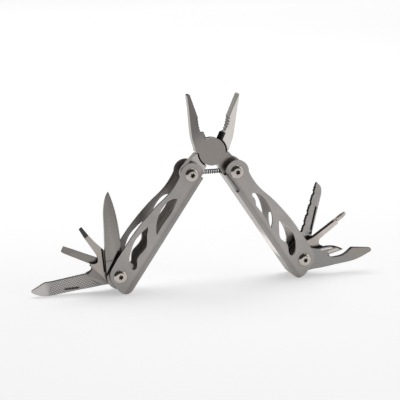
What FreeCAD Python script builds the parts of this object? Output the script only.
import FreeCAD, Part
import math
import os

# Folding multi-tool with sprung pliers, standing with its two channel handles spread downwards.
# The jaws are open at the top and seven tools are partly unfolded from the handles' lower ends.
# x runs to the right, y to the rear and z up; the origin is the bottom centre of the whole object.
# Millimetres and degrees.

os.makedirs("parts", exist_ok=True)
Vector = FreeCAD.Vector

# ---------------------------------------------------------------- driving dimensions
LEFT, RIGHT = -1, 1

# stance
PIVOT_Z = 64.372         # plier pivot above the working origin
TANG_R = 14.8            # plier pivot to handle fold pivot
TANG_ANGLE = 49.1        # fold pivot from straight down, jaws open
HANDLE_LEAN = 37.25      # each handle from the vertical
PIVOT_SPAN = 58.0        # handle: fold pivot to tool pivot
JAW_HALF_OPEN = 23.0     # mean of both jaws from the upright
JAW_TILT = 1.4           # the jaws' centre line from the upright, towards the right

# handle channel
CHANNEL_W = 11.4         # outside width over both side walls
SHEET = 1.0
BEND_R = 1.5             # outside bend radius between wall and web
END_R = 5.8              # rounded top end of the walls
END_ARC_V = -5.2         # where that round meets the web side
WEB_V0 = -5.6            # web outer face at the fold pivot
WEB_SLOPE = -0.056       # web outer face, v per mm of u
TONGUE_END = -2.0        # top end of the web, u past the fold pivot
TOP_CUT_V = -4.1         # top relief beside the web
TONGUE_HALF_W = 4.15
SLIT_U = 47.0            # where the slits between the spring fingers begin
SLIT_HALF_W = 0.2
SLIT_END_R = 0.4
HALF_W = CHANNEL_W / 2
INNER = HALF_W - SHEET

# pivots
SLEEVE_R = 1.9
SCREW_R = 1.1
RUN = 0.05               # running clearance
FIT = 0.02               # close radial clearance
HEAD_R = 3.3
HEAD_H = 1.05
HEAD_GAP = 0.03          # between head and side wall
RECESS_DEPTH = 0.72
SCREW_TURNS = {LEFT: (12, 38), RIGHT: (25, 4)}     # recess turn: fold screw, tool screw
SPACER_R = 3.7
SPACER_GAP = 0.04
WASHER_R = 3.6
SHIM = 0.03              # axial play beside each tool

# plier head
PLIER_T = 4.0
HALF_T = PLIER_T / 2
DISC_R = 6.6             # lap-joint disc
LAP_GAP = 0.03           # half gap between the two lapped discs
LOBE_GAP = 0.42          # radial gap round each disc
RIVET_R = 1.7
RIVET_END = 1.2          # front end of the rivet
TANG_FACE = 24.0         # tang inner face from straight down
TANG_END_R = 4.05
BASE_GAP = 0.42          # jaw base to the partner's tang
# line between a jaw's base (above) and the partner's tang (below): x, y
JAW_BASE = [(-5.9, -1.15), (-12.0, 2.2)]

# spring between the tangs
SPRING_R = 1.2           # coil outside radius
SPRING_WIRE = 0.5
SPRING_PITCH = 0.93
SPRING_Z = -9.75         # spring centre from the plier pivot
SPRING_HALF = 5.65       # half of the spring's length
POCKET_R = 1.4
POCKET_START = 2.0

# tool: (handle, angle from folded in, front y, rear y), front to back in each handle
TOOLS = {
    "knife_blade": (LEFT, 47.0, -4.22, -2.47),
    "small_flat_driver": (LEFT, 75.0, -1.99, -0.24),
    "medium_flat_driver": (LEFT, 99.0, 0.24, 1.99),
    "file": (LEFT, 137.5, 2.47, 4.22),
    "cap_lifter": (RIGHT, 125.0, -4.05, -1.85),
    "cross_driver": (RIGHT, 86.0, -1.20, 1.40),
    "serrated_blade": (RIGHT, 54.0, 2.05, 4.05),
}


# ---------------------------------------------------------------- frames
PLIER_PIVOT = Vector(0, 0, PIVOT_Z)
REARWARD = Vector(0, 1, 0)


def frame(x_axis, y_axis, z_axis, origin):
    return FreeCAD.Matrix(x_axis.x, y_axis.x, z_axis.x, origin.x,
                          x_axis.y, y_axis.y, z_axis.y, origin.y,
                          x_axis.z, y_axis.z, z_axis.z, origin.z, 0, 0, 0, 1)


def fold_pivot(side):
    angle = math.radians(TANG_ANGLE)
    return PLIER_PIVOT + Vector(side * TANG_R * math.sin(angle), 0, -TANG_R * math.cos(angle))


def handle_axes(side):
    """u runs from fold pivot to tool pivot, v from the web to the channel's open side."""
    sine, cosine = math.sin(math.radians(HANDLE_LEAN)), math.cos(math.radians(HANDLE_LEAN))
    return Vector(side * sine, 0, -cosine), Vector(side * cosine, 0, sine)


def tool_pivot(side):
    u, v = handle_axes(side)
    return fold_pivot(side) + u * PIVOT_SPAN


def front_frame(origin):
    """Local x to the right, y up, z to the front."""
    return frame(Vector(1, 0, 0), Vector(0, 0, 1), Vector(0, -1, 0), origin)


def handle_frame(side):
    """Local x = u, y = v, z to the rear on the left handle and to the front on the right."""
    u, v = handle_axes(side)
    return frame(u, v, REARWARD * (-side), fold_pivot(side))


def tool_frame(side, angle):
    """Local x along the tool, y to its spine, z to the front on the left, rear on the right."""
    u, v = handle_axes(side)
    cosine, sine = math.cos(math.radians(angle)), math.sin(math.radians(angle))
    return frame(v * sine - u * cosine, u * sine + v * cosine, REARWARD * side, tool_pivot(side))


# ---------------------------------------------------------------- shape helpers
def placed(shape, matrix):
    out = shape.copy()
    out.transformShape(matrix, True)
    return out


def straight(points):
    """Line edges through the points."""
    return [Part.makeLine(Vector(a[0], a[1], 0), Vector(b[0], b[1], 0))
            for a, b in zip(points, points[1:])]


def smooth(points):
    """One spline edge through the points."""
    spline = Part.BSplineCurve()
    spline.interpolate([Vector(x, y, 0) for x, y in points])
    return [spline.toShape()]


def face(*chains):
    """Closed face from lists of edges."""
    edges = [edge for chain in chains for edge in chain]
    return Part.Face(Part.Wire(Part.sortEdges(edges)[0]))


def poly(points):
    return face(straight(points + points[:1]))


def plate(outline, z0, z1):
    out = outline.extrude(Vector(0, 0, z1 - z0))
    out.translate(Vector(0, 0, z0))
    return out


def prism(points, direction):
    return Part.Face(Part.Wire(Part.makePolygon(points + points[:1]))).extrude(direction)


def prism_x(yz_points, x0, x1):
    return prism([Vector(x0, y, z) for y, z in yz_points], Vector(x1 - x0, 0, 0))


def prism_y(xz_points, y0, y1):
    return prism([Vector(x, y0, z) for x, z in xz_points], Vector(0, y1 - y0, 0))


def cyl(radius, z0, z1, x=0.0, y=0.0):
    return Part.makeCylinder(radius, z1 - z0, Vector(x, y, z0), Vector(0, 0, 1))


def ring(outer_r, inner_r, z0, z1):
    return cyl(outer_r, z0, z1).cut(cyl(inner_r, z0 - 1, z1 + 1))


def box(x0, x1, y0, y1, z0, z1):
    return Part.makeBox(x1 - x0, y1 - y0, z1 - z0, Vector(x0, y0, z0))


def clean(shape):
    solids = shape.removeSplitter().Solids
    return solids[0] if len(solids) == 1 else Part.Compound(solids)


def dress(shape, method, size, pick):
    """Fillet or chamfer the picked edges."""
    edges = [edge for edge in shape.Edges if pick(edge)]
    # guards against edges the kernel cannot dress: the shape then stays sharp
    try:
        out = getattr(shape, method)(size, edges)
        if out.isValid() and len(out.Solids) == len(shape.Solids):
            return out
    except Exception:
        pass
    return shape


# ---------------------------------------------------------------- handles
def web_v(u):
    """Outer face of the web."""
    return WEB_V0 + WEB_SLOPE * u


def web_band(u0, u1, low, high):
    """Face along the web between two offsets from its outer face."""
    return poly([(u0, web_v(u0) + low), (u1, web_v(u1) + low),
                 (u1, web_v(u1) + high), (u0, web_v(u0) + high)])


# open edge of the side walls, then the lower corner: u, v
OPEN_EDGE = [
    (3.6, 4.55), (5.6, 4.2), (8.0, 3.95), (11.7, 3.9), (15.9, 4.4), (19.3, 5.15), (23.9, 5.9),
    (28.0, 6.35), (35.0, 6.8), (40.9, 6.8), (45.5, 6.55), (49.0, 6.5), (51.9, 6.35), (54.5, 6.12),
    (57.0, 5.82), (59.0, 5.25), (60.6, 4.2), (62.0, 2.3), (63.1, -0.9), (64.0, -4.4), (63.8, -6.3)]
CORNER = [OPEN_EDGE[-1], (63.2, -7.6), (61.8, -8.6), (59.8, web_v(59.8))]

# wall openings, each two smooth edges: u, v
LEFT_OPENINGS = [
    ([(13.0, -0.9), (14.1, 0.9), (16.2, 2.15), (18.3, 2.55), (20.6, 2.6), (22.9, 2.35),
      (25.1, 1.8), (27.4, 0.9), (30.0, -0.7), (32.4, -2.9)],
     [(32.4, -2.9), (28.0, -2.35), (23.5, -2.25), (19.0, -2.2), (16.4, -1.75), (13.0, -0.9)]),
    ([(31.2, 3.1), (32.6, 2.0), (35.3, 0.5), (37.3, -1.1), (39.0, -1.9), (41.0, -2.05),
      (43.3, -1.75), (45.4, -1.6), (47.2, -2.15), (48.9, -3.3), (50.2, -3.95), (51.9, -3.5)],
     [(51.9, -3.5), (51.8, -1.7), (50.3, 0.25), (48.0, 1.95), (45.6, 3.0), (43.1, 3.85),
      (40.0, 4.45), (36.5, 4.25), (33.6, 3.75), (31.2, 3.1)])]
RIGHT_FRONT_OPENINGS = [
    ([(13.3, -0.5), (14.1, 0.6), (16.8, 2.2), (20.5, 2.68), (23.7, 2.26), (27.1, 1.25),
      (30.7, -0.6), (33.3, -3.4)],
     [(33.3, -3.4), (31.0, -3.25), (28.0, -2.86), (23.7, -2.5), (20.9, -2.6), (19.0, -2.45),
      (17.8, -1.75), (16.0, -1.15), (14.0, -1.1), (13.3, -0.5)]),
    ([(33.2, 1.75), (34.1, 0.9), (36.9, -1.0), (39.4, -2.55), (41.4, -2.95), (44.3, -2.1),
      (46.8, -2.6), (49.4, -4.0), (51.6, -4.0)],
     [(51.6, -4.0), (51.7, -2.2), (51.1, -1.1), (49.2, 0.75), (46.5, 2.25), (42.9, 3.4),
      (39.5, 3.4), (36.2, 2.7), (33.2, 1.75)])]
RIGHT_REAR_OPENINGS = [
    ([(13.3, -0.7), (14.6, 0.6), (16.5, 1.65), (18.8, 2.1), (22.2, 1.8), (25.3, 0.85),
      (28.2, -0.4), (31.6, -2.6)],
     [(31.6, -2.6), (28.0, -2.35), (23.5, -2.25), (19.0, -2.2), (16.4, -1.75), (13.3, -0.7)]),
    ([(30.9, 1.7), (32.0, 0.75), (34.1, -0.6), (37.0, -1.85), (39.3, -2.2), (41.2, -2.15),
      (43.3, -1.75), (45.4, -1.6), (47.2, -2.15), (48.9, -3.3), (50.2, -3.95), (51.5, -3.5)],
     [(51.5, -3.5), (50.9, -2.1), (49.1, -0.45), (47.6, 0.9), (45.4, 2.15), (42.6, 2.95),
      (39.5, 3.3), (35.0, 3.35), (32.2, 2.9), (30.9, 1.7)])]
# (openings, local z range they are cut through)
OPENINGS = {
    LEFT: [(LEFT_OPENINGS, -10, 10)],
    RIGHT: [(RIGHT_FRONT_OPENINGS, 0, 10), (RIGHT_REAR_OPENINGS, -10, 0)],
}


def tool_layers(side):
    return [(front, rear) for tool_side, _, front, rear in TOOLS.values() if tool_side == side]


def wall_outline():
    """Side wall outline, with the round top end about the fold pivot."""
    arc_start = (-END_R * math.cos(math.asin(END_ARC_V / END_R)), END_ARC_V)
    # the first point of the open edge is drawn onto the end circle
    scale = END_R / math.hypot(*OPEN_EDGE[0])
    arc_end = (OPEN_EDGE[0][0] * scale, OPEN_EDGE[0][1] * scale)
    arc = Part.Arc(Vector(*arc_start, 0), Vector(-END_R, 0, 0), Vector(*arc_end, 0)).toShape()
    web_start = (arc_start[0] + 0.9, web_v(arc_start[0] + 0.9))
    return face([arc], smooth([arc_end] + OPEN_EDGE[1:]), smooth(CORNER),
                straight([CORNER[-1], web_start, arc_start]))


def channel():
    """Bent channel: the filled outline less its hollow, with both bend radii."""
    def outer_bend(edge):
        centre, bounds = edge.CenterOfMass, edge.BoundBox
        return (bounds.XLength > 40 and abs(abs(centre.z) - HALF_W) < 1e-3
                and abs(centre.y - web_v(centre.x)) < 0.2 and bounds.ZLength < 1e-3)

    def inner_bend(edge):
        centre = edge.CenterOfMass
        return edge.BoundBox.XLength > 50 and abs(abs(centre.z) - INNER) < 1e-3 and centre.y < 0

    body = dress(plate(wall_outline(), -HALF_W, HALF_W), "makeFillet", BEND_R, outer_bend)
    u0, u1, top = -20.0, 90.0, 40.0
    hollow = plate(poly([(u0, web_v(u0) + SHEET), (u1, web_v(u1) + SHEET), (u1, top), (u0, top)]),
                   -INNER, INNER)
    return body.cut(dress(hollow, "makeFillet", BEND_R - SHEET, inner_bend))


def cut_top(body):
    """Relieve the top of the web and bend, leaving a narrower tongue."""
    # beside one wall only: the rear one on the left handle, the front one on the right
    relief_end = [(6.9, TOP_CUT_V), (7.75, TOP_CUT_V - 0.35), (8.1, TOP_CUT_V - 1.1),
                  (7.85, TOP_CUT_V - 2.4)]
    relief = face(straight([(-20, -12), (-20, TOP_CUT_V), relief_end[0]]),
                  smooth(relief_end),
                  straight([relief_end[-1], (7.7, -12), (-20, -12)]))
    body = body.cut(plate(relief, TONGUE_HALF_W, HALF_W + 1))
    body = body.cut(box(-20, TONGUE_END, -12, TOP_CUT_V, -10, 10))
    body = body.cut(box(-20, TONGUE_END, -12, -4.0, -INNER, INNER))
    tongue = plate(web_band(TONGUE_END, 9.0, 0, SHEET), -TONGUE_HALF_W, TONGUE_HALF_W)
    return body.fuse(tongue)


def cut_slits(body, side):
    """Slit the lower web into spring fingers, one for each tool."""
    layers = tool_layers(side)
    slits = sorted(-side * (near[1] + far[0]) / 2 for near, far in zip(layers, layers[1:]))
    for z in slits + [-INNER + 0.28, INNER - 0.28]:
        body = body.cut(box(SLIT_U, 70, -14, -6.0, z - SLIT_HALF_W, z + SLIT_HALF_W))
        body = body.cut(Part.makeCylinder(SLIT_END_R, 8, Vector(SLIT_U, -14, z), Vector(0, 1, 0)))
    return body


def handle(side):
    body = cut_slits(cut_top(channel()), side)
    for openings, z0, z1 in OPENINGS[side]:
        for upper, lower in openings:
            body = body.cut(plate(face(smooth(upper), smooth(lower)), z0, z1))
    body = body.cut(cyl(SLEEVE_R + RUN, -10, 10))
    body = body.cut(cyl(SLEEVE_R + FIT, -10, 10, PIVOT_SPAN))
    return placed(clean(body), handle_frame(side))


# ---------------------------------------------------------------- screws, sleeves and rings
def head(z, way):
    """Domed head with a six-lobe recess, seated on the plane z and rising along way (1 or -1)."""
    rim_low, rim_high = Vector(HEAD_R, 0, 0), Vector(HEAD_R, 0, 0.22)
    dome_mid, dome_top = Vector(2.78, 0, 0.74), Vector(1.55, 0, HEAD_H)
    base, crown = Vector(0, 0, 0), Vector(0, 0, HEAD_H)
    profile = [Part.makeLine(base, rim_low), Part.makeLine(rim_low, rim_high),
               Part.Arc(rim_high, dome_mid, dome_top).toShape(),
               Part.makeLine(dome_top, crown), Part.makeLine(crown, base)]
    out = Part.Face(Part.Wire(profile)).revolve(Vector(0, 0, 0), Vector(0, 0, 1), 360)
    floor = HEAD_H - RECESS_DEPTH
    recess = cyl(0.84, floor, HEAD_H + 1)
    for i in range(6):
        turn = math.radians(60 * i)
        recess = recess.fuse(cyl(0.31, floor, HEAD_H + 1,
                                 0.92 * math.cos(turn), 0.92 * math.sin(turn)))
    out = out.cut(recess)
    if way < 0:
        out.rotate(Vector(0, 0, 0), Vector(1, 0, 0), 180)
    out.translate(Vector(0, 0, z))
    return out


Z_FRONT, Z_REAR = HALF_W + HEAD_GAP, -HALF_W - HEAD_GAP


def pivot_sleeve(pivot):
    """Sleeve with its own head at the rear, bored from the front."""
    barrel = cyl(SLEEVE_R, Z_REAR, Z_FRONT).cut(cyl(SCREW_R + FIT, Z_REAR + 1.2, Z_FRONT + 1))
    return placed(clean(barrel.fuse(head(Z_REAR, -1))), front_frame(pivot))


def pivot_screw(pivot, turn):
    screw = clean(head(Z_FRONT + 0.005, 1).fuse(cyl(SCREW_R, Z_REAR + 2.4, Z_FRONT + 0.1)))
    screw.rotate(Vector(0, 0, 0), Vector(0, 0, 1), turn)
    return placed(screw, front_frame(pivot))


def tang_spacers(side):
    """Rings that centre the plier tang between the walls."""
    near, far = HALF_T + SPACER_GAP, INNER - SPACER_GAP
    rings = [ring(SPACER_R, SLEEVE_R + FIT, near, far), ring(SPACER_R, SLEEVE_R + FIT, -far, -near)]
    return placed(Part.Compound(rings), front_frame(fold_pivot(side)))


def tool_washers(side):
    """Washers in every gap beside and between the tools; local z is to the rear."""
    matrix = frame(Vector(1, 0, 0), Vector(0, 0, -1), REARWARD, tool_pivot(side))
    faces = [-INNER] + [y for layer in tool_layers(side) for y in layer] + [INNER]
    washers = [ring(WASHER_R, SLEEVE_R + FIT, y0 + SHIM, y1 - SHIM)
               for y0, y1 in zip(faces[::2], faces[1::2])]
    return placed(Part.Compound(washers), matrix)


# ---------------------------------------------------------------- plier head
# Local frame about the plier pivot: x to the right, y up, z to the front.
TEETH = 5
TEETH_TOP, TEETH_BOTTOM = 17.9, 11.0       # tooth zone along the jaw
JAW_TIP = (-0.02, 29.55)

# outer edge of the closed left jaw, base to tip: x, y
JAW_OUTER = [
    (-8.2, 0.0), (-7.75, 2.2), (-7.25, 4.2), (-6.95, 7.4), (-6.4, 11.2), (-5.65, 14.2),
    (-4.8, 17.2), (-3.9, 20.2), (-3.1, 23.0), (-2.3, 26.2), (-1.75, 28.4), (-1.45, 29.5)]
JAW_END = [JAW_OUTER[-1], (-1.2, 29.85), (-0.75, 29.95), (-0.3, 29.85), JAW_TIP]


def tooth_point(t, deeper=0.0, lower=0.0):
    """Point on the hollow curve of the teeth, t from 0 at its top to 1 at its bottom."""
    x = -(0.42 + 0.55 * t + 1.15 * math.sin(math.pi * t * 0.62) * 0.62)
    return x - deeper, TEETH_TOP + (TEETH_BOTTOM - TEETH_TOP) * t - lower


def jaw_face():
    """Left jaw outline, closed against the centre line x = 0."""
    teeth = []
    for i in range(TEETH):
        teeth += [tooth_point(i / TEETH), tooth_point((i + 0.5) / TEETH, deeper=0.42, lower=0.12)]
    teeth.append((-1.5, TEETH_BOTTOM))
    cutter = [(-1.35, 10.55), (-0.03, 10.2), (-0.03, 6.0)]
    inner = [JAW_TIP, (-0.40, 18.4)] + teeth + cutter + [(-0.03, 0.0), JAW_OUTER[0]]
    return face(straight(inner), smooth(JAW_OUTER), smooth(JAW_END))


def closed_jaw():
    """Left jaw, tapered in thickness and bevelled at the cutter on both faces."""
    jaw = plate(jaw_face(), -HALF_T, HALF_T)
    for way in (1, -1):
        jaw = jaw.cut(prism_x([(9.0, way * HALF_T), (32, way * (HALF_T - 0.62)),
                               (32, way * (HALF_T + 3)), (9.0, way * (HALF_T + 3))], -12, 12))
    for way in (1, -1):
        jaw = jaw.cut(prism_y([(-1.45, way * (HALF_T + 0.01)), (0.3, way * 0.12),
                               (0.3, way * 4), (-1.45, way * 4)], 4.0, 10.9))
    return jaw


def left_tang():
    """Left tang in its place with the jaws open."""
    angle = math.radians(TANG_ANGLE)
    x, y = -TANG_R * math.sin(angle), -TANG_R * math.cos(angle)
    diagonal = TANG_END_R * math.cos(math.radians(45))
    neck = poly([(0, 0), (-10.55 * math.tan(math.radians(TANG_FACE)), -10.55), (-5.6, -11.55),
                 (-7.7, -11.55), (x + 0.5, y - TANG_END_R + 0.05),
                 (x - diagonal, y + diagonal), (-8.2, -0.55), (-6.0, -0.2)])
    tang = plate(neck, -HALF_T, HALF_T).fuse(cyl(TANG_END_R, -HALF_T, HALF_T, x, y))
    # clear of the partner's jaw base
    above = plate(poly(JAW_BASE + [(-30, 12), (0, 30)]), -HALF_T - 1, HALF_T + 1)
    tang = tang.cut(above.cut(cyl(DISC_R, -HALF_T - 2, HALF_T + 2)))
    return tang.cut(cyl(SLEEVE_R + RUN, -HALF_T - 1, HALF_T + 1, x, y))


def tongue_clearance():
    """Room for the tongue of the left handle."""
    room = plate(web_band(TONGUE_END - 0.1, 14.0, -3.0, SHEET + 0.12), -10, 10)
    room = room.fuse(plate(web_band(-9.0, 0.0, -3.0, 0.1), -10, 10))
    return placed(placed(room, handle_frame(LEFT)), front_frame(PLIER_PIVOT).inverse())


def plier_piece(jaw_turn, rivet_r, hole_end):
    """Left jaw, front disc and right tang with the jaws open."""
    jaw = closed_jaw()
    jaw.rotate(Vector(0, 0, 0), Vector(0, 0, 1), jaw_turn)
    base = [(x - BASE_GAP * 0.48, y + BASE_GAP * 0.88) for x, y in JAW_BASE]
    below = plate(poly(base + [(-30, -30), (0, -30)]), -HALF_T - 1, HALF_T + 1)
    jaw = jaw.cut(below.cut(cyl(DISC_R - 0.05, -HALF_T - 2, HALF_T + 2)))

    tang = left_tang().cut(tongue_clearance())
    tang = tang.mirror(Vector(0, 0, 0), Vector(1, 0, 0))
    # blind pocket for the spring
    tang = tang.cut(Part.makeCylinder(POCKET_R, SPRING_HALF + 0.25 - POCKET_START,
                                      Vector(POCKET_START, SPRING_Z, 0), Vector(1, 0, 0)))

    disc = cyl(DISC_R, LAP_GAP, HALF_T)
    # outside the partner's disc the piece keeps its full thickness
    partner_disc = cyl(DISC_R + LOBE_GAP, -HALF_T - 1, LAP_GAP)
    out = jaw.fuse(tang).fuse(disc).cut(partner_disc)
    return out.cut(cyl(rivet_r, -HALF_T - 1, hole_end))


def front_jaw():
    """Front half, with a blind rivet hole."""
    piece = plier_piece(JAW_HALF_OPEN - JAW_TILT, RIVET_R, RIVET_END + RUN)
    return placed(clean(piece), front_frame(PLIER_PIVOT))


def rear_jaw():
    """Rear half: the same form turned back to front, with a running hole right through."""
    piece = plier_piece(JAW_HALF_OPEN + JAW_TILT, RIVET_R + RUN, HALF_T + 1)
    piece.rotate(Vector(0, 0, 0), Vector(0, 1, 0), 180)
    return placed(clean(piece), front_frame(PLIER_PIVOT))


def jaw_spring():
    """Coil spring lying along x between the tangs."""
    length = 2 * SPRING_HALF - SPRING_WIRE
    coil_r = SPRING_R - SPRING_WIRE / 2
    helix = Part.makeHelix(SPRING_PITCH, length, coil_r)
    wire = Part.makeCircle(SPRING_WIRE / 2, Vector(coil_r, 0, 0), Vector(0, 1, 0))
    coil = Part.Wire(helix).makePipeShell([Part.Wire(wire)], True, True)
    coil.translate(Vector(0, 0, -length / 2))
    coil.rotate(Vector(0, 0, 0), Vector(0, 1, 0), 90)
    coil.translate(PLIER_PIVOT + Vector(0, 0, SPRING_Z))
    return coil


# ---------------------------------------------------------------- tools
# Outlines are x along the tool, y towards its spine, about the tool pivot.
# The front face is z1 on the left handle's tools and z0 on the right handle's.
HUB = [(-4.3, 4.6), (-6.25, 0.0), (-4.6, -4.3), (0.0, -6.2)]     # end of the right tools


def tool(name, outline, grind):
    """Flat tool; grind(body, z0, z1) shapes the plate before the pivot hole is cut."""
    side, angle, front, rear = TOOLS[name]
    z0, z1 = sorted((side * front, side * rear))
    body = grind(plate(outline, z0, z1), z0, z1)
    body = body.cut(cyl(SLEEVE_R + RUN, z0 - 1, z1 + 1))
    return placed(clean(body), tool_frame(side, angle))


def nail_nick(body, z, start, end, half_width, depth):
    """Round-ended groove between two points on the face at z."""
    dx, dy = end[0] - start[0], end[1] - start[1]
    length = math.hypot(dx, dy)
    groove = box(0, length, -half_width, half_width, -depth, depth)
    groove = groove.fuse(cyl(half_width, -depth, depth))
    groove = groove.fuse(cyl(half_width, -depth, depth, length))
    groove.rotate(Vector(0, 0, 0), Vector(0, 0, 1), math.degrees(math.atan2(dy, dx)))
    groove.translate(Vector(start[0], start[1], z))
    return body.cut(groove)


def thin_tip(body, z0, z1, x_full, x_tip, half_tip, y_low=-15):
    """Taper both faces from full thickness at x_full to half_tip each side at x_tip."""
    middle, half = (z0 + z1) / 2, (z1 - z0) / 2
    for way in (1, -1):
        tip_z, outside = middle + way * half_tip, middle + way * (half + 2)
        body = body.cut(prism_y([(x_full, middle + way * half), (x_tip, tip_z),
                                 (x_tip + 5, tip_z), (x_tip + 5, outside),
                                 (x_full, outside)], y_low, 15))
    return body


def knife_blade():
    outline = face(
        smooth([(40.9, -2.2), (38.5, -0.35), (35.0, 1.0), (31.0, 2.0), (26.6, 2.6), (20.0, 3.6),
                (15.2, 4.3)]),
        smooth([(15.2, 4.3), (11.0, 4.9), (6.5, 5.4), (2.0, 5.9), (-2.5, 5.7), (-5.4, 3.2),
                (-6.3, 0.0), (-5.4, -3.4), (-2.0, -5.8), (0.6, -6.15)]),
        straight([(0.6, -6.15), (1.6, -6.7), (2.9, -7.3), (3.9, -7.35), (4.9, -6.6),
                  (5.6, -5.75)]),
        smooth([(5.6, -5.75), (8.2, -5.2), (9.6, -4.1), (11.0, -3.3)]),
        smooth([(11.0, -3.3), (14.0, -3.45), (20.0, -3.75), (27.0, -3.85), (34.0, -3.4),
                (38.5, -2.75), (40.9, -2.2)]))

    def grind(body, z0, z1):
        """Hollow both faces down to the edge, outside the full-thickness root."""
        middle, half = (z0 + z1) / 2, (z1 - z0) / 2
        for way in (1, -1):
            surface, edge, outside = (middle + way * d for d in (half, 0.03, 4))
            bevel = prism_x([(3.2, surface), (-4.3, edge), (-9, edge), (-9, outside),
                             (3.2, outside)], 0, 60)
            bevel.rotate(Vector(0, 0, 0), Vector(0, 0, 1), -2.0)
            root = plate(poly([(-8, -20), (9.8, -20), (9.5, -6), (8.7, 1), (8.4, 20), (-8, 20)]),
                         z0 - 3, z1 + 3)
            body = body.cut(bevel.cut(root))
        return body

    return tool("knife_blade", outline, grind)


def small_flat_driver():
    outline = face(
        straight([(29.7, -1.35), (29.65, 0.3), (24.7, 0.98), (15.0, 1.75)]),
        smooth([(15.0, 1.75), (12.7, 2.5), (11.6, 3.9), (12.0, 5.2), (13.2, 6.4)]),
        straight([(13.2, 6.4), (12.4, 7.0)]),
        smooth([(12.4, 7.0), (8.0, 6.6), (4.0, 6.2), (0.0, 6.25), (-4.2, 4.7), (-6.25, 0.0),
                (-4.6, -4.3), (0.0, -6.2), (4.5, -5.6), (8.5, -4.2), (12.0, -2.9), (15.0, -2.2)]),
        straight([(15.0, -2.2), (19.7, -1.55), (24.7, -1.3), (29.7, -1.35)]))
    return tool("small_flat_driver", outline, lambda body, z0, z1: thin_tip(
        body, z0, z1, x_full=24.7, x_tip=29.7, half_tip=0.42))


def medium_flat_driver():
    outline = face(
        straight([(29.6, -1.44), (29.5, 1.25), (28.6, 1.5), (20.0, 1.15), (14.5, 0.95)]),
        smooth([(14.5, 0.95), (12.9, 1.7), (12.2, 3.1), (12.4, 4.6), (13.0, 5.9)]),
        straight([(13.0, 5.9), (12.2, 6.6)]),
        smooth([(12.2, 6.6), (8.0, 6.3), (4.0, 6.0), (0.0, 6.25), (-4.2, 4.7), (-6.25, 0.0),
                (-4.6, -4.3), (0.0, -6.2), (4.5, -5.5), (8.5, -3.9), (12.8, -2.85)]),
        straight([(12.8, -2.85), (20.0, -2.2), (29.6, -1.44)]))
    return tool("medium_flat_driver", outline, lambda body, z0, z1: thin_tip(
        body, z0, z1, x_full=25.0, x_tip=29.6, half_tip=0.36))


def file_tool():
    outline = face(
        straight([(34.0, -4.0), (40.5, -1.84)]),
        smooth([(40.5, -1.84), (40.9, -1.4), (40.8, -0.85)]),
        smooth([(40.8, -0.85), (37.2, 1.56), (33.0, 2.6), (26.5, 3.1), (19.0, 3.55), (10.8, 4.2),
                (4.0, 5.0), (0.0, 6.1), (-4.3, 4.6), (-6.25, 0.0), (-4.6, -4.3), (-1.5, -6.2),
                (2.0, -6.9), (6.0, -7.0)]),
        straight([(6.0, -7.0), (11.2, -6.7), (11.5, -6.2)]),
        smooth([(11.5, -6.2), (10.9, -5.2), (11.5, -4.0), (12.8, -3.55), (14.2, -3.0)]),
        straight([(14.2, -3.0), (30.5, -3.55), (34.0, -4.0)]))

    def grind(body, z0, z1):
        """Thin the tip on a slant; nail nick on the front face."""
        middle, half = (z0 + z1) / 2, (z1 - z0) / 2
        for way in (1, -1):
            surface, tip, outside = (middle + way * d for d in (half, 0.3, 4))
            wedge = prism_y([(31.0, surface), (41.5, tip), (46, tip), (46, outside),
                             (31.0, outside)], -8, 12)
            wedge.rotate(Vector(31, -3, 0), Vector(0, 0, 1), -26)
            body = body.cut(wedge)
        return nail_nick(body, z1, (18.9, 2.35), (25.3, 1.45), half_width=0.5, depth=0.6)

    return tool("file", outline, grind)


def cap_lifter():
    hook_root, hook_tip = (14.0, -0.35), (21.4, -2.0)
    outline = face(
        smooth([(9.2, -4.25), (12.0, -4.62), (15.1, -4.5), (18.4, -3.6), hook_tip]),
        smooth([hook_tip, (19.6, -1.55), (17.6, -1.05), (15.6, -0.65), hook_root]),
        smooth([hook_root, (13.75, 0.15), (14.4, 0.75), (15.6, 1.2), (17.9, 1.2), (20.0, 0.95),
                (21.6, 0.45), (23.3, -0.55), (24.6, -1.6), (25.9, -2.45)]),
        straight([(25.9, -2.45), (35.3, -1.23)]),
        smooth([(35.3, -1.23), (36.2, -0.5), (36.2, 0.5), (35.8, 0.9)]),
        smooth([(35.8, 0.9), (33.8, 1.7), (30.5, 2.95), (27.5, 3.75), (23.8, 4.3), (17.5, 4.8),
                (9.0, 5.55), (4.0, 5.8), (0.0, 6.2), *HUB, (4.8, -4.9), (9.2, -4.25)]))

    def hook_back(z_front):
        def pick(edge):
            centre, bounds = edge.CenterOfMass, edge.BoundBox
            return (abs(centre.z - z_front) < 1e-3 and bounds.ZLength < 1e-3
                    and centre.y < -2.9 and 12.0 < centre.x < 19.0 and bounds.XLength > 8)
        return pick

    def grind(body, z0, z1):
        """Thin the tip, chamfer the hook's back and thin the hook towards its inner edge."""
        body = thin_tip(body, z0, z1, x_full=25.5, x_tip=36.5, half_tip=0.38, y_low=-3.2)
        body = dress(body, "makeChamfer", 0.42, hook_back(z0))
        bevel = prism_x([(0.5, z0 + 1.25), (-2.1, z0), (-2.1, z0 - 2), (0.5, z0 - 2)], -3.0, 11.0)
        slope = math.atan2(hook_tip[1] - hook_root[1], hook_tip[0] - hook_root[0])
        bevel.rotate(Vector(0, 0, 0), Vector(0, 0, 1), math.degrees(slope))
        bevel.translate(Vector(*hook_root, 0))
        hook = poly([(12.9, 0.25), (12.9, -6.0), (23.0, -6.0), (23.0, -1.4), (21.4, -1.75),
                     (17.6, -0.8), (14.0, -0.1)])
        return body.cut(bevel.common(plate(hook, z0 - 3, z1 + 3)))

    return tool("cap_lifter", outline, grind)


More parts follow.
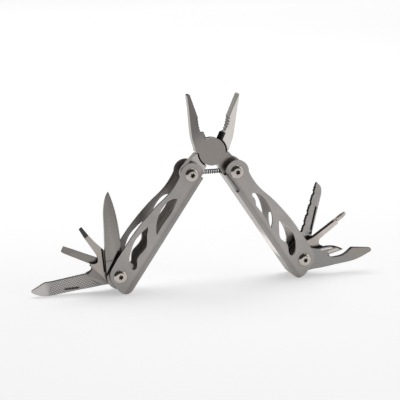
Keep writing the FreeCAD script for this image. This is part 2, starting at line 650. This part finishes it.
def cross_driver():
    outline = face(
        straight([(30.9, -0.6), (30.9, 0.9), (24.5, 0.75), (13.6, -0.15)]),
        smooth([(13.6, -0.15), (12.0, 0.2), (11.1, 1.4), (11.2, 3.0), (11.9, 4.6)]),
        straight([(11.9, 4.6), (11.3, 5.4)]),
        smooth([(11.3, 5.4), (8.0, 5.6), (4.0, 5.9), (0.0, 6.25), *HUB, (4.0, -5.6), (8.0, -4.2),
                (11.9, -3.05)]),
        straight([(11.9, -3.05), (24.5, -1.4), (30.9, -0.6)]))

    def grind(body, z0, z1):
        """Replace the flat end with a short round rod and a blunt four-flute point."""
        tilt, reach, rod_r = math.radians(4.5), 31.2, 1.2
        axis = Vector(math.cos(tilt), math.sin(tilt), 0)
        origin = Vector(reach, -0.05, (z0 + z1) / 2) - axis * reach
        shank = Part.makeCylinder(rod_r, 5.0, origin + axis * 23.5, axis)
        rod = shank.fuse(Part.makeCone(rod_r, 0.82, 2.5, origin + axis * 28.5, axis))
        across = axis.cross(Vector(0, 0, 1))
        for i in range(4):
            turn = math.radians(45 + 90 * i)
            outward = Vector(0, 0, 1) * math.sin(turn) + across * math.cos(turn)
            rod = rod.cut(Part.makeCylinder(0.62, 8, origin + axis * 25.4 + outward * 1.68,
                                            axis - outward * 0.13))
        body = body.cut(box(24.8, 40, -10, 10, z0 - 1, z1 + 1))
        return body.fuse(rod)

    return tool("cross_driver", outline, grind)


# scallops from the tip, repeated: width, radius, depth
SCALLOPS = [(1.3, 0.74, 0.50), (1.3, 0.74, 0.50), (2.7, 1.75, 0.80)]


def serrated_blade():
    outline = face(
        smooth([(37.3, -1.8), (36.9, -1.0), (36.5, -0.3), (35.6, 0.9), (34.3, 1.65), (30.0, 2.35),
                (26.3, 2.6), (20.0, 2.95), (15.0, 3.25), (11.3, 3.6)]),
        straight([(11.3, 3.6), (10.7, 4.3)]),
        smooth([(10.7, 4.3), (7.0, 5.2), (3.5, 5.9), (0.0, 6.2), *HUB, (4.5, -5.6), (8.5, -4.2)]),
        smooth([(8.5, -4.2), (10.2, -3.6), (11.4, -2.4)]),
        straight([(11.4, -2.4), (34.0, -2.45), (37.3, -1.8)]))

    def grind(body, z0, z1):
        """Scallops widest at the front, an edge bevel, a lower front face and a nail nick."""
        x, i = 35.6, 0
        while x > 12.6:
            width, radius, depth = SCALLOPS[i % 3]
            corner = Vector(x - width / 2, -2.46 - radius + depth - 0.12, z0 - 0.3)
            body = body.cut(Part.makeCone(radius + 0.62, radius, 2.6, corner, Vector(0, 0, 1)))
            x -= width
            i += 1
        body = body.cut(prism_x([(-1.75, z0), (-2.75, z1 - 0.25), (-9, z1 - 0.25), (-9, z0 - 3),
                                 (-1.75, z0 - 3)], 11.6, 60))
        body = body.cut(prism_y([(11.0, z0), (11.6, z0 + 0.5), (60, z0 + 0.5), (60, z0 - 3),
                                 (11.0, z0 - 3)], -15, 15))
        return nail_nick(body, z0, (14.0, 2.25), (25.6, 1.35), half_width=0.42, depth=0.95)

    return tool("serrated_blade", outline, grind)


# ---------------------------------------------------------------- build and export
parts = {}
for word, side in (("left", LEFT), ("right", RIGHT)):
    fold_turn, tool_turn = SCREW_TURNS[side]
    parts[word + "_fold_sleeve"] = pivot_sleeve(fold_pivot(side))
    parts[word + "_fold_screw"] = pivot_screw(fold_pivot(side), fold_turn)
    parts[word + "_tool_sleeve"] = pivot_sleeve(tool_pivot(side))
    parts[word + "_tool_screw"] = pivot_screw(tool_pivot(side), tool_turn)
    parts[word + "_handle"] = handle(side)
    parts[word + "_tang_spacers"] = tang_spacers(side)
    parts[word + "_tool_washers"] = tool_washers(side)

parts["jaw_front"] = front_jaw()
parts["jaw_rear"] = rear_jaw()
parts["plier_rivet"] = placed(cyl(RIVET_R, -HALF_T, RIVET_END), front_frame(PLIER_PIVOT))
parts["jaw_spring"] = jaw_spring()
parts["knife_blade"] = knife_blade()
parts["small_flat_driver"] = small_flat_driver()
parts["medium_flat_driver"] = medium_flat_driver()
parts["file"] = file_tool()
parts["cap_lifter"] = cap_lifter()
parts["cross_driver"] = cross_driver()
parts["serrated_blade"] = serrated_blade()

# the bottom centre of the whole object becomes the origin
bounds = [shape.optimalBoundingBox(True, False) for shape in parts.values()]
shift = Vector(-(min(b.XMin for b in bounds) + max(b.XMax for b in bounds)) / 2,
               -(min(b.YMin for b in bounds) + max(b.YMax for b in bounds)) / 2,
               -min(b.ZMin for b in bounds))
for name, shape in parts.items():
    out = shape.copy()
    out.translate(shift)
    out.exportStep("parts/" + name + ".step")
